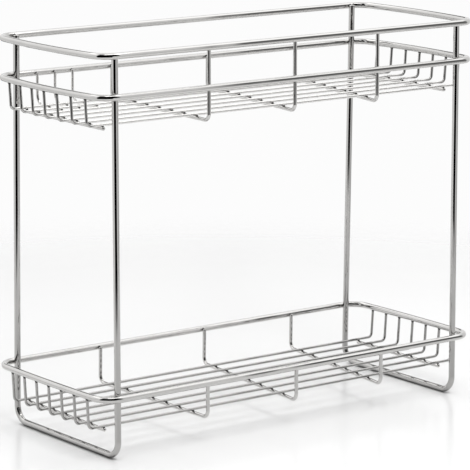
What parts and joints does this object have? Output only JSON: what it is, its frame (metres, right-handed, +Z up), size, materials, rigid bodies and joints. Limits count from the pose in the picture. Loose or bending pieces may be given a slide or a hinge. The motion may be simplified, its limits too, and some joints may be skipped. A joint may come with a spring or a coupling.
{
  "type": "wire shelf rack",
  "caption": "Free-standing tiered rack of chrome-plated wire: shallow rectangular baskets carried one above the other by bent wire leg frames, with a guard ring round the top.",
  "frame": {"origin": "on the surface it stands on, in the middle of the rack's outline", "axes": "+X runs along the rack to the right, +Y to the rear, +Z up; the front is -Y"},
  "size_m": [0.4124, 0.1658, 0.3382],
  "materials": {
    "frame_wire": "mirror-bright plating",
    "basket_wire": "bright plating"
  },
  "bodies": {
    "root": {"left_leg_frame": "frame_wire", "right_leg_frame": "frame_wire", "top_ring": "frame_wire", "upper_rim": "frame_wire", "lower_rim": "frame_wire", "upper_floor_wire_1": "basket_wire", "upper_floor_wire_2": "basket_wire", "upper_floor_wire_3": "basket_wire", "upper_floor_wire_4": "basket_wire", "upper_floor_wire_5": "basket_wire", "upper_floor_wire_6": "basket_wire", "upper_floor_wire_7": "basket_wire", "lower_floor_wire_1": "basket_wire", "lower_floor_wire_2": "basket_wire", "lower_floor_wire_3": "basket_wire", "lower_floor_wire_4": "basket_wire", "lower_floor_wire_5": "basket_wire", "lower_floor_wire_6": "basket_wire", "lower_floor_wire_7": "basket_wire", "upper_stay_left": "basket_wire", "upper_stay_middle": "basket_wire", "upper_stay_right": "basket_wire", "lower_stay_left": "basket_wire", "lower_stay_middle": "basket_wire", "lower_stay_right": "basket_wire", "upper_end_bar_left": "basket_wire", "upper_end_bar_right": "basket_wire", "lower_end_bar_left": "basket_wire", "lower_end_bar_right": "basket_wire", "upper_rear_guard_1": "basket_wire", "upper_rear_guard_2": "basket_wire", "upper_rear_guard_3": "basket_wire"}
  },
  "joints": []
}
